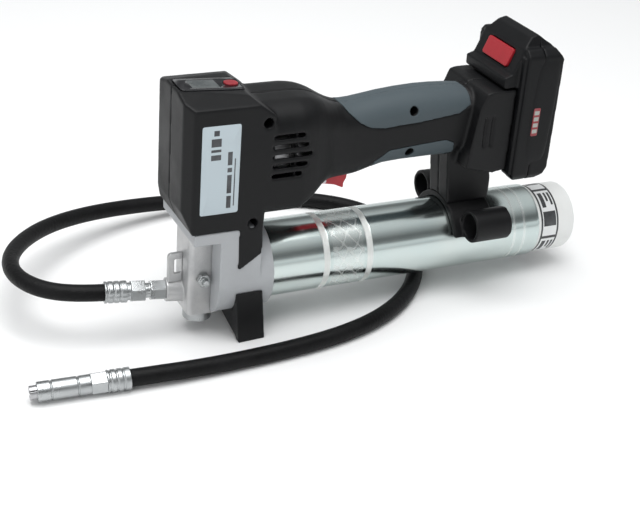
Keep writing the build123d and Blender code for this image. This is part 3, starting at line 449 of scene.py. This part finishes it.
# ---------------------------------------------------------------- drive
# Machined steel inside the head and the motor housing: motor, planetary gears, crank,
# yoke and plunger.  It is seen only with the housing open.
steel_plain = give_life(new_material("steel_plain", (0.46, 0.46, 0.47), 0.30, 1.0),
                        1600.0, 0.12, 70.0, 0.18, (0.36, 0.36, 0.37), 0.4)
nylon_black = give_life(new_material("nylon_black", (0.02, 0.02, 0.02), 0.5), 1500.0, 0.2, 50.0, 0.1)
seal_rubber = give_life(new_material("seal_rubber", (0.016, 0.016, 0.017), 0.6), 1500.0, 0.3, 60.0, 0.1)
steel_nodes = ["motor_can", "motor_bearings", "rotor", "sun_gear", "planet_gear_1", "planet_gear_2",
               "planet_gear_3", "ring_gear", "gearbox_rear_plate", "gearbox_front_plate", "carrier_crank",
               "crank_bearing", "crank_roller", "yoke", "plunger", "guide_rods", "check_ball",
               "check_spring", "trigger_pin", "trigger_spring"]


def refinish(nodes, material):
    """Gives CAD nodes that keep their own mesh a material."""
    for node in nodes:
        mesh = frame["nodes"][node].data
        mesh.materials.clear()
        mesh.materials.append(material)


refinish(steel_nodes, steel_plain)
refinish(("fan", "trigger_switch"), nylon_black)
refinish(("plunger_seal", "barrel_seal", "follower_piston"), seal_rubber)

# ---------------------------------------------------------------- trigger
# A red moulded trigger that swings on a steel pin across the housing.
trigger_red = give_life(new_material("trigger_red", (0.38, 0.007, 0.016), 0.36), 1500.0, 0.12, 60.0, 0.1,
                        (0.52, 0.03, 0.04), 0.4)
moulded("trigger", "red_plastic", trigger_red, 0.0004, 8)

# ---------------------------------------------------------------- head casting
# A zinc die casting, sprayed light grey: a flange that carries the pump, two cheeks
# and the round collar that the barrel screws into.  The paint is slightly pebbled.
casting_grey = give_life(new_material("casting_grey", (0.40, 0.415, 0.43), 0.40), 800.0, 0.35, 40.0, 0.1,
                         (0.36, 0.365, 0.38), 0.4)
moulded("head_casting", "painted_casting", casting_grey, 0.0007, 5)

# ---------------------------------------------------------------- pump block, lug and small screws
# The pump is cast and left bare, so it is satin, and darker in random patches.
# The plug under it and the bleed screw on its side are zinc-plated steel.
bare_casting = give_life(new_material("bare_casting", (0.56, 0.56, 0.56), 0.36, 0.85),
                         700.0, 0.5, 60.0, 0.16, (0.42, 0.43, 0.44), 0.5)
zinc_steel = give_life(new_material("zinc_steel", (0.46, 0.475, 0.48), 0.24, 1.0),
                       1200.0, 0.18, 80.0, 0.16, (0.34, 0.355, 0.36), 0.5, 0.2)
moulded("pump_block", "bare_casting", bare_casting, 0.0005, 6)
moulded("strap_lug", "bare_casting", bare_casting, 0.0004, 5)
moulded("pump_plug", "zinc_steel", zinc_steel, 0.0004, 3)
moulded("bleed_screw", "zinc_steel", zinc_steel, 0.00025, 3)

# ---------------------------------------------------------------- foot
# A black moulded foot screwed under the collar, its lower edge arched between two pads.
moulded("foot", "housing_plastic", housing_black, 0.0007, 5)

# ---------------------------------------------------------------- barrel
# A bright zinc-plated steel tube, 57 mm across and 1.5 mm thick, screwed into the
# collar.  Two knurled bands and the rolled pattern between them give the hand a grip.
barrel_r, barrel_wall = 28.5, 1.5
barrel_front, barrel_rear = -12.0, 228.6
knurl_middles, knurl_half_width = (44.0, 79.4), 2.5
knurl_rows, knurl_depth = 96, 0.16
pattern_x = (48.5, 75.0)
pattern_blocks, pattern_strokes, pattern_depth = 7, 130, 0.06
ring_x, ring_depth = (196.0, 205.5, 214.5), 0.05
barrel_columns = 768


def barrel_relief(x, angle):
    """How far the tube's outside stands out, in millimetres, and how matt it is, from 0 to 1.

    A knurl is the product of two crossed sine waves.  The rolled pattern is a fine
    slanting sine wave kept near the zero lines of two slower crossed waves, one of them bent.
    """
    relief = np.zeros(np.broadcast(x, angle).shape)
    matt = np.zeros_like(relief)
    for middle in knurl_middles:
        inside = (np.abs(x - middle) < knurl_half_width).astype(float)
        wave = np.sin(knurl_rows * angle + 2.4 * x) * np.sin(knurl_rows * angle - 2.4 * x)
        relief += inside * (knurl_depth * wave - 0.08)
        matt += inside
    fade = np.clip((x - pattern_x[0]) / 1.5, 0, 1) * np.clip((pattern_x[1] - x) / 1.5, 0, 1)
    bend = 0.6 * np.sin(0.55 * x + 2 * angle)
    block = np.sin(pattern_blocks * angle + 0.24 * x + bend) * np.sin(pattern_blocks * angle - 0.31 * x)
    line = np.exp(-(block / 0.16) ** 2) * fade
    stroke = np.sin(pattern_strokes * angle + 1.3 * x)
    relief -= line * pattern_depth * (0.6 + 0.4 * stroke)
    matt += 0.35 * line + 0.25 * fade
    for middle in ring_x:
        inside = np.exp(-((x - middle) / 1.1) ** 2)
        relief -= ring_depth * inside
        matt += 0.5 * inside
    return relief, np.clip(matt, 0, 1)


outer_x = np.unique(np.concatenate((
    np.linspace(barrel_front + 0.6, 41.0, 16), np.linspace(41.2, 82.2, 150), np.linspace(84.0, 201.0, 12),
    np.linspace(202.0, 218.0, 40), np.linspace(219.0, barrel_rear - 0.8, 6))))
rim_turn = np.linspace(0.0, np.pi, 7)[1:-1]
rear_x = barrel_rear - 0.75 + 0.75 * np.sin(rim_turn)
rear_r = barrel_r - 0.75 + 0.75 * np.cos(rim_turn)
profile_x = np.concatenate(([barrel_front], outer_x, rear_x,
                            [barrel_rear - 0.8, barrel_front, barrel_front]))
profile_r = np.concatenate(([barrel_r - 0.6], np.full(len(outer_x), barrel_r), rear_r,
                            [barrel_r - barrel_wall, barrel_r - barrel_wall, barrel_r - 0.6]))
turn_round = np.linspace(0.0, 2 * np.pi, barrel_columns, endpoint=False)
grid_x, grid_angle = np.meshgrid(profile_x, turn_round, indexing="ij")
relief, matt = barrel_relief(grid_x, grid_angle)
outside = (profile_r == barrel_r)[:, None]
radius = profile_r[:, None] + np.where(outside, relief, 0.0)
barrel_points = np.stack((grid_x, radius * np.cos(grid_angle), radius * np.sin(grid_angle)), axis=-1)
barrel_mesh = grid_mesh("barrel_tube", on_gun(barrel_points), True, mask=np.where(outside, matt, 0.0))
zinc_bright = new_material("zinc_bright", (0.62, 0.70, 0.69), 0.10, 1.0)
tree = zinc_bright.node_tree
shader = tree.nodes["Principled BSDF"]
rolled = tree.nodes.new("ShaderNodeAttribute")
rolled.attribute_name = "mask"
place = tree.nodes.new("ShaderNodeTexCoord")
stretch = tree.nodes.new("ShaderNodeMapping")
stretch.inputs["Scale"].default_value = (6.0, 140.0, 140.0)
tree.links.new(place.outputs["Object"], stretch.inputs["Vector"])
drawn = add_node(tree, "ShaderNodeTexNoise", Scale=1.0, Detail=4.0)
tree.links.new(stretch.outputs["Vector"], drawn.inputs["Vector"])
bloom = add_node(tree, "ShaderNodeTexNoise", Scale=28.0, Detail=4.0)
tree.links.new(place.outputs["Object"], bloom.inputs["Vector"])
rough = math_node(tree, "MULTIPLY", rolled.outputs["Fac"], 0.26)
rough = math_node(tree, "ADD", rough, math_node(tree, "MULTIPLY", bloom.outputs[0], 0.18))
rough = math_node(tree, "ADD", rough, 0.09)
tree.links.new(rough, shader.inputs["Roughness"])
tint = tree.nodes.new("ShaderNodeMix")
tint.data_type = "RGBA"
tint.inputs["A"].default_value = (0.52, 0.62, 0.62, 1.0)
tint.inputs["B"].default_value = (0.66, 0.70, 0.67, 1.0)
tree.links.new(bloom.outputs[0], tint.inputs["Factor"])
pale = tree.nodes.new("ShaderNodeMix")
pale.data_type = "RGBA"
pale.inputs["B"].default_value = (0.84, 0.86, 0.84, 1.0)
tree.links.new(rolled.outputs["Fac"], pale.inputs["Factor"])
tree.links.new(tint.outputs["Result"], pale.inputs["A"])
tree.links.new(pale.outputs["Result"], shader.inputs["Base Color"])
grainy = add_node(tree, "ShaderNodeBump", Strength=0.10, Distance=0.0003)
tree.links.new(drawn.outputs[0], grainy.inputs["Height"])
tree.links.new(grainy.outputs["Normal"], shader.inputs["Normal"])
link_piece("barrel_tube", barrel_mesh, "barrel", "zinc_barrel", zinc_bright, "barrel")

# ---------------------------------------------------------------- cartridge
# A thin-walled white plastic cartridge inside the barrel.  Its rear end shows behind
# the barrel, with a printed band round it: black, with a white field and dark bars.
cartridge_white = new_material("cartridge_white", (0.80, 0.81, 0.80), 0.38)
plastic_shader = cartridge_white.node_tree.nodes["Principled BSDF"]
plastic_shader.inputs["Subsurface Weight"].default_value = 0.25
plastic_shader.inputs["Subsurface Radius"].default_value = (0.004, 0.004, 0.004)
give_life(cartridge_white, 900.0, 0.1, 40.0, 0.1, (0.72, 0.72, 0.70), 0.3)
machined("cartridge", "white_plastic", cartridge_white, 0.0003)
band_r, band_x = 26.76, (231.5, 247.5)
band_rows, band_columns = np.linspace(*band_x, 5), np.linspace(0.0, 2 * np.pi, 97)
band_x_grid, band_angle = np.meshgrid(band_rows, band_columns, indexing="ij")
band_points = np.stack((band_x_grid, band_r * np.cos(band_angle), band_r * np.sin(band_angle)), axis=-1)
band_along = (band_x_grid - band_x[0]) / (band_x[1] - band_x[0])
band_uv = np.stack((band_angle / (2 * np.pi), band_along), axis=-1)
band_bars = [(0.0, 1.0, 0.0, 0.10), (0.0, 1.0, 0.90, 1.0)]
for start in (0.02, 0.27, 0.52, 0.77):
    band_bars += [(start, start + 0.015, 0.0, 1.0), (start + 0.03, start + 0.11, 0.20, 0.42),
                  (start + 0.03, start + 0.08, 0.52, 0.64), (start + 0.03, start + 0.10, 0.72, 0.84),
                  (start + 0.13, start + 0.20, 0.15, 0.86)]
band_print = label_print("band_print", (0.78, 0.79, 0.79), (0.02, 0.02, 0.022), band_bars)
band_mesh = grid_mesh("cartridge_band", on_gun(band_points), False, band_uv)
link_piece("cartridge_band", band_mesh, "cartridge", "white_plastic", band_print)

# ---------------------------------------------------------------- nozzle holder
# A black moulded saddle over the barrel with a round holder on each side, where a
# spare nozzle or the coupler is parked.
moulded("nozzle_holder", "housing_plastic", housing_black, 0.0007, 5)

# ---------------------------------------------------------------- battery
# A slide-on pack in two black shells with a red release button in its hood.  Each
# side has a raised pad with a curved front edge, and the left one a charge mark.
battery_black = give_life(new_material("battery_black", (0.0030, 0.0033, 0.0040), 0.42, level=0.20),
                          1500.0, 0.22, 26.0, 0.12, (0.010, 0.010, 0.0105), 0.35, 0.25)
release_red = give_life(new_material("release_red", (0.30, 0.007, 0.014), 0.38), 1800.0, 0.12, 60.0, 0.1,
                        (0.42, 0.02, 0.03), 0.4)
cell_blue = give_life(new_material("cell_blue", (0.05, 0.14, 0.30), 0.3), 900.0, 0.05, 60.0, 0.1)
for node in ("battery_front_shell", "battery_rear_shell"):
    moulded(node, "battery_plastic", battery_black, 0.0008, 6)
moulded("release_button", "red_plastic", release_red, 0.0004, 6)
refinish(("battery_cells",), cell_blue)
battery_half_width = 35.0
pad_height, pad_sunk = 1.1, 0.4
pad_rows, pad_columns = 26, 60
pad_middle_x, pad_middle_z = 209.0, 108.0
pad_half_length, pad_half_height, pad_waist = 10.2, 42.0, 1.6


def battery_pad(name, side):
    """A raised pad on one side of the pack: an outline on polar rays, domed towards its rim.

    The outline is a rounded rectangle as a superellipse of power 5, leaning back with
    the pack's upper rear corner; height falls to nothing at the rim as 1 - r to the 8th.
    """
    share = np.linspace(1.0, 0.0, pad_rows)[:, None]
    angle = np.linspace(0.0, 2 * np.pi, pad_columns, endpoint=False)[None, :]
    reach = (np.abs(np.cos(angle)) ** 5 + np.abs(np.sin(angle)) ** 5) ** (-0.2)
    wide = pad_half_length - pad_waist * np.clip(np.sin(angle), -1, 0) ** 2
    x = pad_middle_x + share * reach * wide * np.cos(angle)
    z = pad_middle_z + share * reach * pad_half_height * np.sin(angle)
    x = x + 3.0 * np.clip((z - 120.0) / 30.0, -1, 1) * (share * 0.4) - 0.5
    height = pad_height * (1.0 - share ** 8) - pad_sunk
    y = side * (battery_half_width + height)
    points = np.stack(np.broadcast_arrays(x, y, z), axis=-1)
    if side > 0:
        points = points[:, ::-1]
    mesh = grid_mesh(name, on_gun(points), True)
    return link_piece(name, mesh, "battery", "battery_plastic", battery_black)


battery_pad("battery_pad_left", -1.0)
battery_pad("battery_pad_right", 1.0)
mark_x, mark_z = (200.0, 205.5), (90.0, 112.0)


def to_battery_left(flat):
    """(u, v, height) on the left pad: u along the gun, v up, height outward to the left."""
    mark_y = -battery_half_width - pad_height + 0.35
    return np.stack((flat[..., 0], mark_y - flat[..., 2], flat[..., 1]), axis=-1)


mark_bars = [(0.12, 0.88, low, low + 0.14) for low in (0.10, 0.32, 0.54, 0.76)]
mark_paper = label_print("mark_paper", (0.24, 0.012, 0.018), (0.34, 0.35, 0.32), mark_bars)
mark_mesh = thin_plate("charge_mark", (mark_x[0], mark_z[0]), (mark_x[1], mark_z[1]), 1.0,
                       [(0.0, -0.3), (0.0, 0.14), (0.1, 0.2)], to_battery_left)
link_piece("charge_mark", mark_mesh, "battery", "battery_plastic", mark_paper)

# ---------------------------------------------------------------- fittings on the hose
# Zinc-plated turned steel: adapter, swivel nut, crimped ferrules, hexagon and the
# four-jaw grease coupler.
moulded("outlet_adapter", "zinc_steel", zinc_steel, 0.0003, 2)
on_the_hose = [moulded(node, "zinc_steel", zinc_steel, 0.0003, 2) for node in (
    "hose_nut", "ferrule_front", "ferrule_back", "end_hex", "coupler_body")]
on_the_hose.append(moulded("coupler_jaws", "plain_steel", steel_plain, 0.00025, 2))

# ---------------------------------------------------------------- floor and light
# A plain pale floor with a large soft light above and a weaker one in front.
floor_size = 12.0
bpy.ops.mesh.primitive_plane_add(size=floor_size)
floor = bpy.context.object
floor.name = "floor"
floor.data.materials.append(new_material("floor_paint", (0.9, 0.9, 0.9), 0.75))


def soft_light(name, place, target, width, height, power):
    """A rectangular lamp at place that faces target."""
    lamp = bpy.data.lights.new(name, "AREA")
    lamp.shape = "RECTANGLE"
    lamp.size, lamp.size_y, lamp.energy = width, height, power
    holder = bpy.data.objects.new(name, lamp)
    holder.location = place
    holder.rotation_euler = (Vector(target) - Vector(place)).to_track_quat("-Z", "Y").to_euler()
    bpy.context.collection.objects.link(holder)


soft_light("light_above", (-0.2, -0.1, 1.6), (0.0, 0.0, 0.0), 1.6, 1.2, 24.0)
soft_light("light_front", (-1.4, -1.3, 0.9), (0.0, 0.0, 0.08), 0.9, 0.9, 5.0)
world = bpy.data.worlds.new("studio")
world.use_nodes = True
sky = world.node_tree
direction = sky.nodes.new("ShaderNodeTexCoord")
height_of = sky.nodes.new("ShaderNodeSeparateXYZ")
ramp = sky.nodes.new("ShaderNodeValToRGB")
sky.links.new(direction.outputs["Generated"], height_of.inputs[0])
sky.links.new(height_of.outputs["Z"], ramp.inputs["Fac"])
sky_bands = [(0.0, 0.80), (0.13, 1.15), (0.20, 1.15), (0.25, 0.32), (0.45, 0.20), (0.62, 0.50),
             (0.78, 0.9), (1.0, 1.0)]
stops = ramp.color_ramp.elements
stops[0].position, stops[1].position = sky_bands[0][0], sky_bands[-1][0]
for where, _ in sky_bands[1:-1]:
    stops.new(where)
for stop, (_, bright) in zip(stops, sky_bands):
    stop.color = (bright * 0.97, bright * 0.99, bright, 1.0)
sky.links.new(ramp.outputs["Color"], sky.nodes["Background"].inputs["Color"])
sky.nodes["Background"].inputs["Strength"].default_value = 0.8
bpy.context.scene.world = world
bpy.context.scene.view_settings.view_transform = "Standard"
